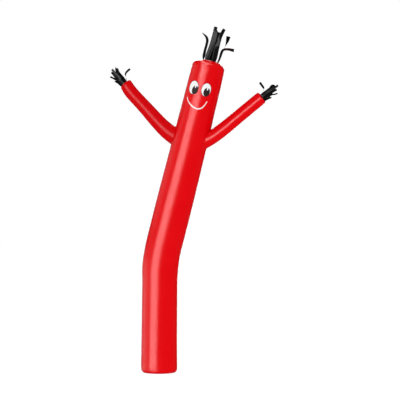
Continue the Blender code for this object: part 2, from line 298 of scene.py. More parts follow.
def body_relief(z, a):
    """How far the cloth stands off the plain tube, for rings z and angles a."""
    z = z[:, None]
    a = a[None, :]
    back = np.abs(a - math.pi) * 0.15
    hem = np.abs(z - HEM)
    out = -0.0005 * np.exp(-(hem / 0.0022) ** 2)
    out = out + 0.0005 * np.exp(-hem / 0.014) * wave(a, 1, (31, 38, 46))
    head = TOP - z
    out = out - 0.0003 * np.exp(-(head / 0.004) ** 2)
    out = out + 0.0003 * np.exp(-head / 0.016) * wave(a, 2, (27, 34, 43))
    out = out + 0.0006 * np.exp(-(back / 0.016) ** 2) * np.cos(
        2 * math.pi * z / 0.023 + 1.5 * np.sin(z * 9))
    inner = np.clip(np.cos(a - math.pi / 2), 0, 1) ** 1.5
    bend = np.exp(-((z - 1.02) / 0.13) ** 2)
    out = out + 0.0011 * inner * bend * np.cos(
        2 * math.pi * z / 0.062 + 1.1 * np.cos(2 * a) + 0.8 * np.sin(z * 31))
    out = out + 0.0004 * np.sin(3 * a + 2.1 * z + 0.7) * np.sin(5.3 * z + 0.4)
    return out


def arm_axis(table):
    """A sleeve's smooth centreline and its way at each point."""
    line = catmull(table, 6)
    steps = np.gradient(line[:, :2], axis=0)
    return line, steps / np.linalg.norm(steps, axis=1)[:, None]


def off_sleeve(points, table):
    """Distance of points outside a sleeve's skin, and their angle round it."""
    line, ways = arm_axis(table)
    flat = points.reshape(-1, 3)
    gaps = (flat[:, None, 0] - line[None, :, 0]) ** 2 + (flat[:, None, 2] - line[None, :, 1]) ** 2
    near = np.argmin(gaps, axis=1)
    way = ways[near]
    dx = flat[:, 0] - line[near, 0]
    dz = flat[:, 2] - line[near, 1]
    across = -dx * way[:, 1] + dz * way[:, 0]
    along = dx * way[:, 0] + dz * way[:, 1]
    distance = np.hypot(across, flat[:, 1]) - line[near, 2]
    distance = np.where(along < -0.02, 1.0, distance)
    turn = np.arctan2(flat[:, 1], across)
    return distance.reshape(points.shape[:-1]), turn.reshape(points.shape[:-1])


def ring_grid(rows, angles, relief):
    """Points of a tube: a row of points for every ring."""
    made = np.zeros((len(rows), len(angles), 3))
    for i, (centre, axis, radius) in enumerate(rows):
        side = unit(np.cross(axis, FRONT))
        out = FRONT[None, :] * np.cos(angles)[:, None] + side[None, :] * np.sin(angles)[:, None]
        made[i] = centre + out * (radius + relief[i])[:, None]
    return made


def new_object(name, points, faces, uvs, slot, smooth=True):
    mesh = bpy.data.meshes.new(name)
    mesh.from_pydata([tuple(p) for p in np.asarray(points, float).tolist()], [], faces)
    if uvs is not None:
        layer = mesh.uv_layers.new(name="UVMap")
        for face, corners in zip(mesh.polygons, uvs):
            for loop, uv in zip(face.loop_indices, corners):
                layer.data[loop].uv = uv
    mesh.update()
    for face in mesh.polygons:
        face.use_smooth = smooth
    item = bpy.data.objects.new(name, mesh)
    bpy.context.scene.collection.objects.link(item)
    item.data.materials.append(slot)
    return item


def grid_object(name, grid, slot, closed=True, keep=None):
    """A sheet over a grid of points; its UVs are metres on the cloth."""
    rows, sides = grid.shape[:2]
    span = sides if closed else sides - 1
    middle = grid[rows // 2]
    around = np.linalg.norm(np.diff(np.vstack([middle, middle[:1]]), axis=0), axis=1)
    across = np.concatenate([[0.0], np.cumsum(around)])
    along = np.concatenate([[0.0], np.cumsum(np.linalg.norm(
        np.diff(grid, axis=0), axis=2).mean(axis=1))])
    faces = []
    uvs = []
    for i in range(rows - 1):
        for k in range(span):
            if keep is not None and not keep[i, k]:
                continue
            n = (k + 1) % sides
            faces.append((i * sides + k, i * sides + n, (i + 1) * sides + n, (i + 1) * sides + k))
            uvs.append(((across[k], along[i]), (across[k + 1], along[i]),
                        (across[k + 1], along[i + 1]), (across[k], along[i + 1])))
    return new_object(name, grid.reshape(-1, 3), faces, uvs, slot)


def thicken(item, depth, offset=-1.0):
    """Give a sheet its thickness, inward unless the offset says otherwise."""
    change = item.modifiers.new("cloth", "SOLIDIFY")
    change.thickness = depth
    change.offset = offset
    change.use_rim = True
    return item


def stitches(name, places, outs, slot, pitch=0.0050, length=0.0036, width=0.0007, high=0.0004):
    """A row of sewn stitches along a line that lies on the cloth."""
    places = np.asarray(places, float)
    outs = np.asarray(outs, float)
    run = np.concatenate([[0.0], np.cumsum(np.linalg.norm(np.diff(places, axis=0), axis=1))])
    points = []
    faces = []
    for k in range(int(run[-1] / pitch)):
        at = (k + 0.5) * pitch
        middle = np.array([np.interp(at, run, places[:, j]) for j in range(3)])
        ahead = np.array([np.interp(at + 0.001, run, places[:, j]) for j in range(3)])
        behind = np.array([np.interp(at - 0.001, run, places[:, j]) for j in range(3)])
        out = unit(np.array([np.interp(at, run, outs[:, j]) for j in range(3)]))
        way = unit(ahead - behind)
        cross = unit(np.cross(way, out))
        base = len(points)
        points += [middle - way * length / 2, middle + way * length / 2,
                   middle + cross * width / 2 + out * high * 0.4,
                   middle - cross * width / 2 + out * high * 0.4,
                   middle + out * high, middle - out * high * 0.2]
        for a, b in ((2, 4), (4, 3), (3, 5), (5, 2)):
            faces.append((base, base + a, base + b))
            faces.append((base + 1, base + b, base + a))
    return new_object(name, points, faces, None, slot)


# Materials


def shader_of(slot):
    return slot.node_tree.nodes["Principled BSDF"]


def new_material(name, colour, roughness):
    slot = bpy.data.materials.new(name)
    slot.use_nodes = True
    shader = shader_of(slot)
    shader.inputs["Base Color"].default_value = (*colour, 1.0)
    shader.inputs["Roughness"].default_value = roughness
    slot.diffuse_color = (*colour, 1.0)
    return slot


def add_node(slot, kind, place, **values):
    node = slot.node_tree.nodes.new(kind)
    node.location = place
    for key, value in values.items():
        if key.startswith("in_"):
            node.inputs[int(key[3:])].default_value = value
        else:
            setattr(node, key, value)
    return node


def join(slot, a, b):
    slot.node_tree.links.new(a, b)


def woven(slot, colour, dark, pale, roughness, cell, depth, rib=True):
    """Coated woven cloth: fine threads, a ripstop grid and slight unevenness."""
    shader = shader_of(slot)
    where = add_node(slot, "ShaderNodeTexCoord", (-1500, 0))
    split = add_node(slot, "ShaderNodeSeparateXYZ", (-1300, 0))
    join(slot, where.outputs["UV"], split.inputs[0])
    lines = []
    for axis in (0, 1):
        scaled = add_node(slot, "ShaderNodeMath", (-1120, -160 * axis), operation="MULTIPLY",
                          in_1=2 * math.pi / cell)
        join(slot, split.outputs[axis], scaled.inputs[0])
        swing = add_node(slot, "ShaderNodeMath", (-950, -160 * axis), operation="COSINE")
        join(slot, scaled.outputs[0], swing.inputs[0])
        lifted = add_node(slot, "ShaderNodeMath", (-780, -160 * axis), operation="MAXIMUM",
                          in_1=0.0)
        join(slot, swing.outputs[0], lifted.inputs[0])
        sharp = add_node(slot, "ShaderNodeMath", (-610, -160 * axis), operation="POWER",
                         in_1=14.0 if rib else 2.0)
        join(slot, lifted.outputs[0], sharp.inputs[0])
        lines.append(sharp)
    grid = add_node(slot, "ShaderNodeMath", (-440, -80), operation="MAXIMUM")
    join(slot, lines[0].outputs[0], grid.inputs[0])
    join(slot, lines[1].outputs[0], grid.inputs[1])

    threads = []
    for axis in (0, 1):
        scaled = add_node(slot, "ShaderNodeMath", (-1120, -480 - 160 * axis), operation="MULTIPLY",
                          in_1=2 * math.pi / THREAD_PITCH)
        join(slot, split.outputs[axis], scaled.inputs[0])
        swing = add_node(slot, "ShaderNodeMath", (-950, -480 - 160 * axis), operation="SINE")
        join(slot, scaled.outputs[0], swing.inputs[0])
        threads.append(swing)
    weave = add_node(slot, "ShaderNodeMath", (-780, -560), operation="MULTIPLY")
    join(slot, threads[0].outputs[0], weave.inputs[0])
    join(slot, threads[1].outputs[0], weave.inputs[1])
    height = add_node(slot, "ShaderNodeMath", (-440, -400), operation="MULTIPLY_ADD", in_1=0.18)
    join(slot, weave.outputs[0], height.inputs[0])
    join(slot, grid.outputs[0], height.inputs[2])
    bump = add_node(slot, "ShaderNodeBump", (-240, -400), in_0=1.0, in_1=depth)
    join(slot, height.outputs[0], bump.inputs["Height"])
    join(slot, bump.outputs[0], shader.inputs["Normal"])

    cloud = add_node(slot, "ShaderNodeTexNoise", (-1120, 380))
    cloud.inputs["Scale"].default_value = 5.0
    cloud.inputs["Detail"].default_value = 3.0
    join(slot, where.outputs["Object"], cloud.inputs["Vector"])
    ramp = add_node(slot, "ShaderNodeValToRGB", (-900, 380))
    ramp.color_ramp.elements[0].position = 0.35
    ramp.color_ramp.elements[0].color = (*dark, 1.0)
    ramp.color_ramp.elements[1].position = 0.65
    ramp.color_ramp.elements[1].color = (*colour, 1.0)
    join(slot, cloud.outputs["Fac"], ramp.inputs["Fac"])
    mixer = add_node(slot, "ShaderNodeMix", (-240, 300), data_type="RGBA")
    mixer.inputs[7].default_value = (*pale, 1.0)
    faint = add_node(slot, "ShaderNodeMath", (-440, 200), operation="MULTIPLY", in_1=0.35)
    join(slot, grid.outputs[0], faint.inputs[0])
    join(slot, faint.outputs[0], mixer.inputs[0])
    join(slot, ramp.outputs[0], mixer.inputs[6])
    join(slot, mixer.outputs[2], shader.inputs["Base Color"])
    rough = add_node(slot, "ShaderNodeMapRange", (-440, 40))
    rough.inputs["From Min"].default_value = 0.3
    rough.inputs["From Max"].default_value = 0.7
    rough.inputs["To Min"].default_value = roughness - 0.02
    rough.inputs["To Max"].default_value = roughness + 0.02
    join(slot, cloud.outputs["Fac"], rough.inputs["Value"])
    join(slot, rough.outputs[0], shader.inputs["Roughness"])
    return slot


def printed(slot, colour, shade, roughness):
    """Printed ink on the cloth, a little uneven, with the weave under it."""
    shader = shader_of(slot)
    where = add_node(slot, "ShaderNodeTexCoord", (-1100, 0))
    cloud = add_node(slot, "ShaderNodeTexNoise", (-900, 120))
    cloud.inputs["Scale"].default_value = 60.0
    cloud.inputs["Detail"].default_value = 4.0
    join(slot, where.outputs["Object"], cloud.inputs["Vector"])
    ramp = add_node(slot, "ShaderNodeValToRGB", (-700, 120))
    ramp.color_ramp.elements[0].position = 0.3
    ramp.color_ramp.elements[0].color = (*shade, 1.0)
    ramp.color_ramp.elements[1].position = 0.6
    ramp.color_ramp.elements[1].color = (*colour, 1.0)
    join(slot, cloud.outputs["Fac"], ramp.inputs["Fac"])
    join(slot, ramp.outputs[0], shader.inputs["Base Color"])
    fine = add_node(slot, "ShaderNodeTexNoise", (-900, -200))
    fine.inputs["Scale"].default_value = 900.0
    join(slot, where.outputs["Object"], fine.inputs["Vector"])
    bump = add_node(slot, "ShaderNodeBump", (-400, -200), in_0=0.4, in_1=0.0001)
    join(slot, fine.outputs["Fac"], bump.inputs["Height"])
    join(slot, bump.outputs[0], shader.inputs["Normal"])
    shader.inputs["Roughness"].default_value = roughness
    shader.inputs["Specular IOR Level"].default_value = 0.02
    return slot


RED = (0.825, 0.0004, 0.0032)
RED_DARK = (0.805, 0.0002, 0.0027)
RED_PALE = (0.845, 0.0020, 0.0054)
# Painted shade: the dark red of the narrow band round the lower edge of the cloth.
EDGE_SHADE = (0.48, 0.0030, 0.0120)
BLACK = (0.0075, 0.0075, 0.0085)
BLACK_DARK = (0.0050, 0.0050, 0.0060)
BLACK_PALE = (0.0120, 0.0120, 0.0130)

nylon = woven(new_material("red_nylon", RED, 0.25), RED, RED_DARK, RED_PALE, 0.25, RIPSTOP,
              THREAD_BUMP)
shader_of(nylon).inputs["Specular IOR Level"].default_value = 0.05
tape = woven(new_material("red_tape", RED_DARK, 0.3), RED_DARK, RED_DARK, RED, 0.30,
             TAPE_PITCH, TAPE_BUMP, rib=False)
# Material of the band of painted shade round the lower edge.
edge_tape = woven(new_material("edge_tape", EDGE_SHADE, 0.3), EDGE_SHADE, EDGE_SHADE, EDGE_SHADE, 0.30, TAPE_PITCH,
                  TAPE_BUMP, rib=False)
shader_of(edge_tape).inputs["Specular IOR Level"].default_value = 0.05
# Painted shade: a darker copy of the red nylon for the left sleeve, which is the same cloth as the
# rest of the tube.
SHADED_RED = tuple(0.83 * part for part in RED)     # the left sleeve, which lies in shade
shade_painted_nylon = woven(new_material("red_nylon_dim", SHADED_RED, 0.25), SHADED_RED, SHADED_RED, RED_DARK, 0.25, RIPSTOP,
                  THREAD_BUMP)
shader_of(shade_painted_nylon).inputs["Specular IOR Level"].default_value = 0.05
# Painted shade: the tinted coat, with hardly any reflection of its own, darkens the cloth where it
# is seen at a slant, for the dark rims round the tubes.
for slot in (nylon, shade_painted_nylon, tape):
    rim_shade_coat = shader_of(slot)
    rim_shade_coat.inputs["Coat Weight"].default_value = 1.0
    rim_shade_coat.inputs["Coat Roughness"].default_value = 0.3
    rim_shade_coat.inputs["Coat IOR"].default_value = 1.005
    rim_shade_coat.inputs["Coat Tint"].default_value = (0.93, 0.93, 0.93, 1.0)
thread = printed(new_material("red_thread", (0.60, 0.010, 0.015), 0.5), (0.62, 0.010, 0.016),
                 (0.52, 0.006, 0.010), 0.5)
ribbon = woven(new_material("black_nylon", BLACK, 0.28), BLACK, BLACK_DARK, BLACK_PALE, 0.28,
               0.0050, THREAD_BUMP)
black_tape = woven(new_material("black_tape", BLACK, 0.45), BLACK, BLACK_DARK, BLACK_PALE, 0.45,
                   TAPE_PITCH, TAPE_BUMP, rib=False)
white_ink = printed(new_material("white_ink", (0.93, 0.93, 0.92), 0.4), (0.94, 0.94, 0.93),
                    (0.90, 0.90, 0.90), 0.40)
smile_ink = printed(new_material("smile_ink", (0.93, 0.86, 0.84), 0.4), (0.94, 0.88, 0.86),
                    (0.90, 0.82, 0.80), 0.40)
dark_ink = printed(new_material("dark_ink", (0.030, 0.018, 0.018), 0.35), (0.034, 0.021, 0.021),
                   (0.024, 0.017, 0.017), 0.50)
shader_of(dark_ink).inputs["Specular IOR Level"].default_value = 0.008
line_ink = printed(new_material("line_ink", (0.16, 0.012, 0.03), 0.35), (0.17, 0.012, 0.030),
                   (0.13, 0.010, 0.024), 0.35)


def place(item, slot_name=None, nodes=()):
    """Ride on the root, and stand for nodes of the part, whose own meshes are hidden; the slot name
    is not used.
    """
    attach(item, "root")
    if nodes:
        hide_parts(*nodes)
    return item


# Body tube


def body_heights():
    near = [FOOT, 0.0, 0.003, 0.006, 0.010, 0.015, 0.019, 0.022, 0.0235, 0.025, 0.0265,
            0.028, 0.032]
    middle = list(np.arange(0.040, 2.592, 0.0092))
    end = [2.594, 2.600, 2.605, 2.6085, 2.611, TOP]
    return np.array(near + middle + end)


def build_body():
    """The body's skin, puffed at the sleeves' roots and open behind them."""
    heights = body_heights()
    angles = np.arange(BODY_SIDES) * 2 * math.pi / BODY_SIDES
    rows = []
    for z in heights:
        centre, axis, radius = spine(z)
        level = 1.0 - min(max(z, 0.0) / LEVEL_BELOW, 1.0)
        rows.append((centre, unit(axis * (1 - level) + np.array([0.0, 0.0, level])), radius))
    relief = body_relief(heights, angles)
    grid = ring_grid(rows, angles, relief)
    for table in (ARM_LEFT, ARM_RIGHT):
        gap, turn = off_sleeve(grid, table)
        beyond = np.clip(gap, 0.0, None)
        relief = relief + 0.0030 * np.exp(-(beyond / 0.009) ** 1.3)
        relief = relief - 0.0007 * np.exp(-beyond / 0.022) * (1 + wave(turn, 5, (13, 17, 22)))
    grid = ring_grid(rows, angles, relief)
    keep = np.ones((len(rows) - 1, BODY_SIDES), bool)
    for table in (ARM_LEFT, ARM_RIGHT):
        gap, turn = off_sleeve(grid, table)
        inside = gap < -0.014
        block = inside[:-1] & inside[1:] & np.roll(inside, -1, 1)[:-1] & np.roll(inside, -1, 1)[1:]
        keep &= ~block
    return thicken(grid_object("body_skin", grid, nylon, keep=keep), NYLON), grid


def base_edge(grid):
    """A narrow dark band of painted shade round the lower edge of the sleeve, made as a binding
    tape.
    """
    middle = np.array([BODY[0][1], 0.0, 0.0])
    rows = []
    for row in grid[:3]:
        out = row - middle
        out[:, 2] = 0.0
        rows.append(row + out / np.linalg.norm(out, axis=1)[:, None] * 0.0005)
    return grid_object("base_edge", np.array(rows), edge_tape)


def skin_point(z, angle, lift=0.0):
    """A point on the tube's plain outer skin and the way out of it."""
    centre, axis, radius = spine(z)
    side = unit(np.cross(axis, FRONT))
    out = FRONT * math.cos(angle) + side * math.sin(angle)
    return centre + out * (radius + lift), out


def back_seam():
    """A flat-felled seam up the back, with two rows of stitches."""
    heights = np.arange(0.027, TOP - 0.004, 0.009)
    profile = [(-0.0068, 0.0001), (-0.0062, 0.0011), (-0.0022, 0.0013), (0.0022, 0.0013),
               (0.0062, 0.0011), (0.0068, 0.0001)]
    grid = []
    for z in heights:
        wobble = 0.0004 * math.sin(z * 23) + 0.0003 * math.sin(z * 57)
        radius = spine(z)[2]
        grid.append([skin_point(z, math.pi + (across + wobble) / radius, high)[0]
                     for across, high in profile])
    item = grid_object("back_seam", np.array(grid), tape, closed=False)
    rows = []
    for n, across in enumerate((-0.0042, 0.0042)):
        line, outs = [], []
        for z in heights:
            wobble = 0.0004 * math.sin(z * 23) + 0.0003 * math.sin(z * 57)
            p, out = skin_point(z, math.pi + (across + wobble) / spine(z)[2], 0.0013)
            line.append(p)
            outs.append(out)
        rows.append(stitches("back_stitches_" + str(n), line, outs, thread))
    return [item] + rows


def round_stitches(name, z, lift):
    line, outs = [], []
    for k in range(STITCH_STEPS + 1):
        p, out = skin_point(z, math.pi + 2 * math.pi * k / STITCH_STEPS, lift)
        line.append(p)
        outs.append(out)
    return stitches(name, line, outs, thread)


# Sleeves and domed ends


def sleeve_frames(table, tilt):
    """Rows of x, z, radius and lean, turned by the tilt toward the hand."""
    line = np.array(table)
    steps = np.gradient(line, axis=0)
    rows = []
    for p, d in zip(line, steps):
        rows.append([p[0], p[1], p[2], math.atan2(d[0], d[1])])
    for back, share in ((1, 1.0), (2, 0.45)):
        rows[-back][3] += math.radians(tilt * share)
    return np.array(rows)


def row_of(values):
    x, z, radius, angle = values
    return np.array([x, 0.0, z]), np.array([math.sin(angle), 0.0, math.cos(angle)]), radius


def dome_ring(last, vent, shift, height, size):
    """A ring over the end of a tube, shifted as it narrows to the vent."""
    centre, axis, radius = last
    down = np.cross(axis, [0.0, 1.0, 0.0])
    if down[2] > 0:
        down = -down
    share = (radius - size) / (radius - vent)
    return centre + axis * height + down * shift * share, axis, size


def dome_rows(last, shape, shift, steps):
    """Smooth rings from the end of a tube up to its vent."""
    return [dome_ring(last, shape[-1][1], shift, height, size)
            for height, size in catmull([(0.0, last[2])] + list(shape), steps)[1:]]


def cad_ends(last, shape, shift):
    """The last two rings of the part's own domed end."""
    return [dome_ring(last, shape[-1][1], shift, height, size) for height, size in shape[-2:]]


def body_gap(points):
    """Distance of points outside the body tube's plain skin."""
    flat = points.reshape(-1, 3)
    x = np.interp(flat[:, 2], SPINE[:, 0], SPINE[:, 1])
    slope = (np.interp(flat[:, 2] + 0.01, SPINE[:, 0], SPINE[:, 1])
             - np.interp(flat[:, 2] - 0.01, SPINE[:, 0], SPINE[:, 1])) / 0.02
    lean = 1 / np.sqrt(1 + slope ** 2)
    across = (flat[:, 0] - x) * lean
    level = flat[:, 2] + (flat[:, 0] - x) * slope * lean ** 2
    radius = np.interp(level, SPINE[:, 0], SPINE[:, 2])
    return (np.hypot(across, flat[:, 1]) - radius).reshape(points.shape[:-1])


def build_arm(name, table, tilt, seed, nodes, slot_name):
    """A sleeve from the body's skin to the vent, with its seam and stitches."""
    frames = catmull(sleeve_frames(table, tilt), 8)
    rows = [row_of(f) for f in frames]
    angles = np.arange(ARM_SIDES) * 2 * math.pi / ARM_SIDES
    plain = ring_grid(rows, angles, np.zeros((len(rows), ARM_SIDES)))
    centres = np.array([row[0] for row in rows])
    gap = body_gap(plain)
    count = len(rows)
    start = np.zeros(ARM_SIDES)
    for k in range(ARM_SIDES):
        outside = np.where(gap[:, k] > 0.0008)[0]
        first = outside[outside > 0][0]
        low, high = gap[first - 1, k], gap[first, k]
        start[k] = first - 1 + (0.0008 - low) / (high - low)
    share = np.linspace(0.0, 1.0, SLEEVE_RINGS) ** 1.18
    grid = np.zeros((SLEEVE_RINGS, ARM_SIDES, 3))
    for k in range(ARM_SIDES):
        at = start[k] + (count - 1 - start[k]) * share
        for j in range(3):
            grid[:, k, j] = np.interp(at, np.arange(count), plain[:, k, j])
    ways = np.zeros((SLEEVE_RINGS, ARM_SIDES, 3))
    for k in range(ARM_SIDES):
        at = start[k] + (count - 1 - start[k]) * share
        for j in range(3):
            ways[:, k, j] = grid[:, k, j] - np.interp(at, np.arange(count), centres[:, j])
    ways /= np.linalg.norm(ways, axis=2)[:, :, None]
    run = np.zeros((SLEEVE_RINGS, ARM_SIDES))
    run[1:] = np.cumsum(np.linalg.norm(np.diff(grid, axis=0), axis=2), axis=0)
    left = run[-1][None, :] - run
    a = angles[None, :]
    relief = 0.0022 * np.exp(-(run / 0.010) ** 1.2)
    relief = relief + 0.0008 * np.exp(-run / 0.024) * wave(a + 0 * run, seed, (9, 13, 17))
    relief = relief - 0.0006 * np.exp(-(left / 0.004) ** 2)
    relief = relief + 0.0005 * np.exp(-left / 0.012) * wave(a + 0 * run, seed + 1, (11, 14, 19))
    relief = relief + 0.0004 * np.sin(2 * a + run * 17 + seed) * np.sin(run * 29 + seed)
    under = np.abs(np.angle(np.exp(1j * (a - SEAM_TURN[name])))) * 0.06
    relief = relief + 0.0005 * np.exp(-(under / 0.010) ** 2) * np.cos(run * 2 * math.pi / 0.019)
    grid = grid + ways * relief[:, :, None]
    ends = dome_rows(rows[-1], HAND_SHAPE, HAND_SHIFT, 5)
    cap = np.zeros((len(ends), ARM_SIDES))
    for i in range(len(ends)):
        fade = math.exp(-i / 4.0)
        cap[i] = -0.0006 * math.exp(-(i / 1.5) ** 2) + 0.0005 * fade * wave(
            angles, seed + 1, (11, 14, 19))
    whole = np.vstack([grid, ring_grid(ends, angles, cap)])
    # The left sleeve takes the darker copy of the nylon: painted shade.
    item = thicken(grid_object(name + "_sleeve", whole, shade_painted_nylon if name == "left" else nylon),
                   NYLON)
    place(item, slot_name, nodes)
    parts = []
    root = np.vstack([grid[0], grid[:1, 0]])
    outs = np.vstack([ways[0], ways[:1, 0]])
    second = np.vstack([grid[2], grid[2:3, 0]])
    parts.append(stitches(name + "_root_stitches", root * 0.4 + second * 0.6, outs, thread,
                          pitch=0.0044, length=0.0032))
    cuff = np.vstack([grid[-3], grid[-3:-2, 0]])
    cuff_outs = np.vstack([ways[-3], ways[-3:-2, 0]])
    parts.append(stitches(name + "_cuff_stitches", cuff, cuff_outs, thread,
                          pitch=0.0040, length=0.0029))
    seam = int(round(SEAM_TURN[name] / (2 * math.pi) * ARM_SIDES)) % ARM_SIDES
    strip = []
    sideways = np.cross(ways[:, seam], np.gradient(grid[:, seam], axis=0))
    sideways /= np.linalg.norm(sideways, axis=1)[:, None]
    for across, high in ((-0.0048, 0.0), (-0.0042, 0.0009), (0.0, 0.0011), (0.0042, 0.0009),
                         (0.0048, 0.0)):
        strip.append(grid[:, seam] + sideways * across + ways[:, seam] * high)
    strip = np.array(strip).transpose(1, 0, 2)
    parts.append(grid_object(name + "_seam", strip, tape, closed=False))
    for n, across in enumerate((-0.0028, 0.0028)):
        parts.append(stitches(name + "_seam_stitches_" + str(n),
                              grid[:, seam] + sideways * across + ways[:, seam] * 0.0010,
                              ways[:, seam], thread))
    for part in parts:
        place(part, slot_name)
    return item, parts, rows, ends, whole


def build_head():
    """The domed top panel, from the body's upper edge to the vent."""
    centre, axis, radius = spine(TOP)
    start = (centre + axis * GAP, axis, radius)
    ends = dome_rows(start, HEAD_SHAPE, HEAD_SHIFT, 8)
    rows = [start] + ends
    angles = np.arange(BODY_SIDES) * 2 * math.pi / BODY_SIDES
    relief = np.zeros((len(rows), BODY_SIDES))
    run = 0.0
    for i, row in enumerate(rows):
        if i:
            run += math.hypot(np.linalg.norm(row[0] - rows[i - 1][0]), row[2] - rows[i - 1][2])
        relief[i] = -0.0003 * math.exp(-(run / 0.004) ** 2) + 0.0003 * math.exp(
            -run / 0.020) * wave(angles, 2, (27, 34, 43))
        left = 0.1 - run
        relief[i] += 0.0005 * math.exp(-max(left, 0) / 0.012) * wave(angles, 7, (15, 21, 28))
    grid = ring_grid(rows, angles, relief)
    item = thicken(grid_object("head_skin", grid, nylon), NYLON)
    return item, rows


def vent_hem(name, rows, sides):
    """The turned edge round a vent."""
    centre, axis, radius = rows[-1]
    angles = np.arange(sides) * 2 * math.pi / sides
    low_centre, _, low_radius = rows[-3]
    profile = [(low_centre, low_radius + 0.0002), (low_centre, low_radius + 0.0010),
               (centre, radius + 0.0002), (centre + axis * 0.0008, radius - 0.0006)]
    grid = np.zeros((len(profile), sides, 3))
    for i, (c, r) in enumerate(profile):
        side = unit(np.cross(axis, FRONT))
        out = FRONT[None, :] * np.cos(angles)[:, None] + side[None, :] * np.sin(angles)[:, None]
        lift = axis * (0.0009 if i == 1 else 0.0)
        grid[i] = c + lift + out * r
    return grid_object(name, grid, tape)


# Streamers


def strip_path(frame_of, row, radius, steps):
    """Place, way across, way out and width of each section, from the tape outward."""
    centre, side, out, front = frame_of
    _, where, spread, table = row
    a = math.radians(where)
    radial = side * math.cos(a) + front * math.sin(a)
    chord = 2000 * radius * math.sin(math.radians(spread / 2))
    first = radial * (radius - 0.00075) * 1000
    root = [float(np.dot(first, side)), 0.0, float(np.dot(first, front)), chord, 0.0]
    line = catmull([root] + [list(r) for r in table], steps)
    places = [centre + (side * p[0] + out * p[1] + front * p[2]) / 1000 for p in line]
    across = side * math.sin(a) - front * math.cos(a)
    sections = []
    for i, p in enumerate(places):
        if i == 0:
            tangent = out
        elif i == len(places) - 1:
            tangent = places[i] - places[i - 1]
        else:
            tangent = places[i + 1] - places[i - 1]
        tangent = unit(tangent)
        across = unit(across - tangent * float(np.dot(across, tangent)))
        normal = np.cross(tangent, across)
        turn = math.radians(line[i][4])
        wide = across * math.cos(turn) + normal * math.sin(turn)
        sections.append((p, wide, np.cross(tangent, wide), line[i][3] / 1000))
    return sections


def build_tuft(name, rows, strips, seed, nodes, slot_name):
    """A ring of tape in a vent, with its streamers and the stitches that hold them."""
    low, top = rows
    run = float(np.dot(top[0] - low[0], top[1]))
    edge = CLOTH * run / math.hypot(run, top[2] - low[2])
    centre, axis = top[0], top[1]
    radius = top[2] - edge - GAP
    side = unit(np.cross(FRONT, axis))
    if side[0] < 0:
        side = -side
    angles = np.arange(TAPE_SIDES) * 2 * math.pi / TAPE_SIDES
    band = np.zeros((6, TAPE_SIDES, 3))
    ring = side[None, :] * np.cos(angles)[:, None] + FRONT[None, :] * np.sin(angles)[:, None]
    for i in range(6):
        band[i] = centre - axis * (BAND_HEIGHT * i / 5) + ring * (
            radius - 0.0001 * (i % 2))
    tape_ring = thicken(grid_object(name + "_tape", band, black_tape), 0.0007)
    place(tape_ring, slot_name, nodes)
    pieces = []
    for n, row in enumerate(strips):
        path = strip_path((centre, side, axis, FRONT), row, radius, 9)
        p, wide, normal, width = path[0]
        lead = [(p - axis * 0.008, wide, normal, width),
                (p - axis * 0.004, wide, normal, width)]
        path = lead + path
        total = len(path)
        grid = np.zeros((total, STRIP_POINTS, 3))
        for i, (p, wide, normal, width) in enumerate(path):
            t = i / (total - 1)
            cup = 0.07 * math.sin(3.3 * t + n + seed) * min(t * 4, 1.0)
            for k in range(STRIP_POINTS):
                u = k / (STRIP_POINTS - 1) * 2 - 1
                arc = cup * width * (1 - u * u)
                flutter = 0.0012 * u * math.sin(11 * t + 2.1 * n + seed) * min(t * 3, 1.0)
                grid[i, k] = p + wide * width / 2 * u + normal * (arc + flutter)
        item = grid_object(name + "_" + row[0], grid, ribbon, closed=False)
        thicken(item, RIBBON, 0.0)
        place(item, slot_name)
        pieces.append(item)
    line, outs = [], []
    for k in range(STITCH_STEPS + 1):
        a = 2 * math.pi * k / STITCH_STEPS
        out = side * math.cos(a) + FRONT * math.sin(a)
        line.append(centre - axis * 0.004 + out * (radius - 0.0016))
        outs.append(-out)
    sewn = place(stitches(name + "_tape_stitches", line, outs, black_tape, pitch=0.0042), slot_name)
    return pieces + [sewn]


# Face


def cloth_point(around, up, lift):
    """A place on the cloth from millimetres round and up, and the way out."""
    centre, axis, radius = spine(FACE_AT)
    middle = centre + axis * up / 1000
    z = middle[2]
    centre, axis, radius = spine(z)
    side = unit(np.cross(axis, FRONT))
    angle = around / 1000 / radius
    out = FRONT * math.cos(angle) + side * math.sin(angle)
    return centre + out * (radius + lift), out


def patch(name, outline, layers, lift, slot):
    """A thin printed patch: rings of outline points shrunk to its middle."""
    outline = np.array(outline, float)
    middle = outline.mean(axis=0)
    count = len(outline)
    points = []
    faces = []
    uvs = []
    spots = []
    for i in range(layers):
        share = 1 - i / layers
        for p in outline:
            spots.append(middle + (p - middle) * share)
    spots.append(middle)
    for spot in spots:
        points.append(cloth_point(spot[0], spot[1], lift)[0])
    for i in range(layers - 1):
        for k in range(count):
            n = (k + 1) % count
            faces.append((i * count + k, i * count + n, (i + 1) * count + n, (i + 1) * count + k))
    last = (layers - 1) * count
    for k in range(count):
        faces.append((last + k, last + (k + 1) % count, len(points) - 1))
    for face in faces:
        uvs.append([tuple(spots[v] / 1000) for v in face])
    item = new_object(name, points, faces, uvs, slot)
    return thicken(item, 0.0003)


def oval(around, up, half_width, half_height, lean=0.0, count=64, grow=0.0):
    outline = []
    a = math.radians(lean)
    for k in range(count):
        t = 2 * math.pi * k / count
        x = (half_width + grow) * math.cos(t)
        y = (half_height + grow) * math.sin(t)
        outline.append((around + x * math.cos(a) + y * math.sin(a),
                        up - x * math.sin(a) + y * math.cos(a)))
    return outline


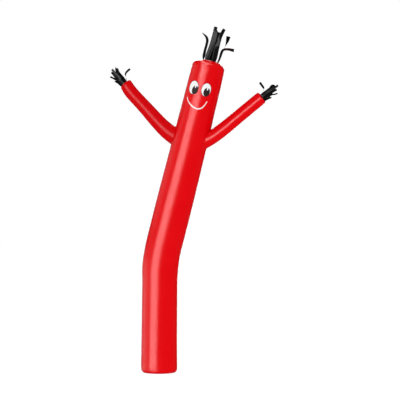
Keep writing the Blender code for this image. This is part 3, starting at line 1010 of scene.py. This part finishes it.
def build_face():
    """The printed eyes and smile, each a thin patch on the cloth."""
    items = []
    for name, around, up, wide, high, lean in EYES:
        items.append(patch("eye_line_" + name, oval(around, up, wide, high, lean, grow=EYE_LINE),
                           8, 0.0005, line_ink))
        items.append(patch("eye_white_" + name, oval(around, up, wide, high, lean), 8, 0.0009,
                           white_ink))
    for name, around, up, wide, high, lean in PUPILS:
        items.append(patch("pupil_" + name, oval(around, up, wide, high, lean), 6, 0.0013,
                           dark_ink))
    for name, around, up, wide, high in GLINTS:
        items.append(patch("glint_" + name, oval(around, up, wide, high, 0, 32), 3, 0.0017,
                           white_ink))
    path = catmull(SMILE, 8)
    ways = np.gradient(path[:, :2], axis=0)
    ways /= np.linalg.norm(ways, axis=1)[:, None]
    rows = []
    for p, way in zip(path, ways):
        normal = np.array([-way[1], way[0]])
        rows.append([cloth_point(*(p[:2] + normal * p[2] / 2 * u), 0.0008)[0]
                     for u in (-1, -0.5, 0, 0.5, 1)])
    for end, sign in ((0, -1), (-1, 1)):
        p, way = path[end], ways[end] * sign
        normal = np.array([-ways[end][1], ways[end][0]])
        extra = []
        for step in (0.35, 0.7, 0.95):
            narrow = math.sqrt(1 - step * step)
            extra.append([cloth_point(*(p[:2] + way * p[2] / 2 * step
                                        + normal * p[2] / 2 * narrow * u), 0.0008)[0]
                          for u in (-1, -0.5, 0, 0.5, 1)])
        rows = extra[::-1] + rows if end == 0 else rows + extra
    items.append(thicken(grid_object("smile", np.array(rows), smile_ink, closed=False), 0.0003))
    for item in items:
        place(item, "nylon_body")
    return items


# Build

body, body_grid = build_body()
place(body, "nylon_body", ["body_tube"])
body_parts = back_seam()
# A band of painted shade round the lower edge.
body_parts.append(base_edge(body_grid))
body_parts.append(round_stitches("base_hem_stitches", HEM, 0.0002))
body_parts.append(round_stitches("head_seam_stitches", TOP - 0.0075, 0.0002))
for part in body_parts:
    place(part, "nylon_body")

head, head_rows = build_head()
place(head, "nylon_head", ["head_panel"])
place(vent_hem("head_vent_hem", head_rows, BODY_SIDES), "nylon_head")

arms = {}
for name, table, tilt, seed in (("left", ARM_LEFT, LEFT_TILT, 3),
                                ("right", ARM_RIGHT, RIGHT_TILT, 8)):
    arms[name] = build_arm(name, table, tilt, seed, ["arm_" + name], "nylon_arm_" + name)
    hem = vent_hem(name + "_vent_hem", [arms[name][2][-1]] + arms[name][3], ARM_SIDES)
    arms[name][1].append(place(hem, "nylon_arm_" + name))


tufts = {
    "hair": build_tuft("hair", cad_ends(head_rows[0], HEAD_SHAPE, HEAD_SHIFT), HAIR, 0.3,
                       ["hair_strips"], "ribbon_hair"),
    "left_hand": build_tuft("left_hand", cad_ends(arms["left"][2][-1], HAND_SHAPE, HAND_SHIFT),
                            LEFT_TUFT, 1.9, ["strips_left_hand"], "ribbon_left_hand"),
    "right_hand": build_tuft("right_hand", cad_ends(arms["right"][2][-1], HAND_SHAPE, HAND_SHIFT),
                             RIGHT_TUFT, 4.1, ["strips_right_hand"], "ribbon_right_hand"),
}
face = build_face()

# Floor, camera and lights


def build_floor():
    count = 96
    points = [(0.3 + 30 * math.cos(2 * math.pi * k / count),
               30 * math.sin(2 * math.pi * k / count), FLOOR) for k in range(count)]
    slot = new_material("floor", (0.08, 0.08, 0.08), 0.9)
    shader = shader_of(slot)
    shader.inputs["Emission Color"].default_value = (1, 1, 1, 1)
    shader.inputs["Emission Strength"].default_value = 0.97
    shader.inputs["Specular IOR Level"].default_value = 0.0
    slot.cycles.emission_sampling = "NONE"
    item = new_object("floor", points, [tuple(range(count))], None, slot, False)
    item.visible_glossy = False
    item.visible_shadow = False


def build_world():
    scene = bpy.context.scene
    world = bpy.data.worlds.new("studio")
    world.use_nodes = True
    world.node_tree.nodes["Background"].inputs[0].default_value = (1, 1, 1, 1)
    world.node_tree.nodes["Background"].inputs[1].default_value = 1.0
    world.cycles_visibility.glossy = False
    world.cycles.sampling_method = "NONE"
    scene.world = world
    scene.view_settings.view_transform = "Standard"


def softbox(name, at, turn, roll, size, radiance, receivers):
    """A white panel that only its receivers reflect: turn is degrees about Z and
    roll is degrees about its own normal; a turn of None makes it face down."""
    data = bpy.data.lights.new(name, "AREA")
    data.shape = "RECTANGLE"
    data.size = size[0]
    data.size_y = size[1]
    data.energy = radiance * math.pi * size[0] * size[1]
    item = bpy.data.objects.new(name, data)
    bpy.context.scene.collection.objects.link(item)
    way = Matrix.Rotation(math.radians(roll), 4, "Z")
    if turn is not None:
        way = (Matrix.Rotation(math.radians(turn), 4, "Z")
               @ Matrix.Rotation(math.pi / 2, 4, "X") @ way)
    item.matrix_world = Matrix.Translation(at) @ way
    item.visible_diffuse = False
    item.visible_camera = False
    group = bpy.data.collections.new(name + "_lit")
    for thing in receivers:
        group.objects.link(thing)
    item.light_linking.receiver_collection = group


def build_camera():
    data = bpy.data.cameras.new("camera")
    data.lens = CAMERA_LENS
    data.sensor_width = 36.0
    item = bpy.data.objects.new("camera", data)
    item.location = CAMERA_AT
    item.rotation_euler = (math.pi / 2, 0.0, CAMERA_TURN)
    bpy.context.scene.collection.objects.link(item)
    bpy.context.scene.camera = item


build_floor()
build_world()
build_camera()

body_things = [body, head, bpy.data.objects["head_vent_hem"]] + body_parts + face
shiny = {name: [piece for piece in tufts[name] if piece.name.split("_")[-1] in letters]
         for name, letters in (("hair", "BC"), ("left_hand", "BC"), ("right_hand", "B"))}

RED_LAMPS = [
    # name, (x, y, z), turn, roll, (width, height), radiance
    ("key", (-1.40, -3.75, 1.05), -18, -24, (3.1, 5.8), 40.0),
    ("key_up", (-0.55, -3.75, 5.40), -14, 0, (3.0, 3.8), 39.0),
    ("top", (0.30, -1.40, 6.60), None, -22, (3.0, 3.4), 29.0),
    ("top_back", (0.35, 1.80, 6.60), None, -6, (2.4, 3.0), 12.0),
    ("left_low", (-3.82, -0.49, -0.10), -83, 0, (3.7, 2.8), 5.6),
    ("left_high", (-3.82, -0.49, 3.45), -83, 0, (3.7, 3.1), 3.1),
    ("back_low", (-3.17, 2.24, -0.10), -124, 0, (2.5, 2.8), 1.3),
    ("back_high", (-3.17, 2.24, 3.45), -124, 0, (2.5, 3.1), 0.9),
]
for name, at, turn, roll, size, radiance in RED_LAMPS:
    softbox(name, at, turn, roll, size, radiance, body_things)
sleeve_things = {name: [made[0]] + made[1] for name, made in arms.items()}
softbox("behind", (-0.55, 4.40, 2.60), 189, 8, (1.5, 6.5), 15.0, body_things)
softbox("behind_arms", (-0.40, 4.40, 2.30), 189, 0, (1.2, 1.2), 19.0,
        sleeve_things["left"] + sleeve_things["right"])
softbox("left_stripe", (-1.60, -5.84, 2.56), -15, 45, (3.6, 5.0), 21.5,
        sleeve_things["left"])
softbox("right_stripe", (0.55, -6.00, 1.85), -2, -53, (2.5, 4.0), 62.0,
        sleeve_things["right"])
softbox("ribbon_strip", (-0.4, -3.96, 3.0), -8, 0, (2.4, 5.0), 2.2,
        shiny["hair"] + shiny["left_hand"])
softbox("ribbon_right", (-0.4, -3.96, 3.0), -8, 0, (2.4, 5.0), 0.9, shiny["right_hand"])
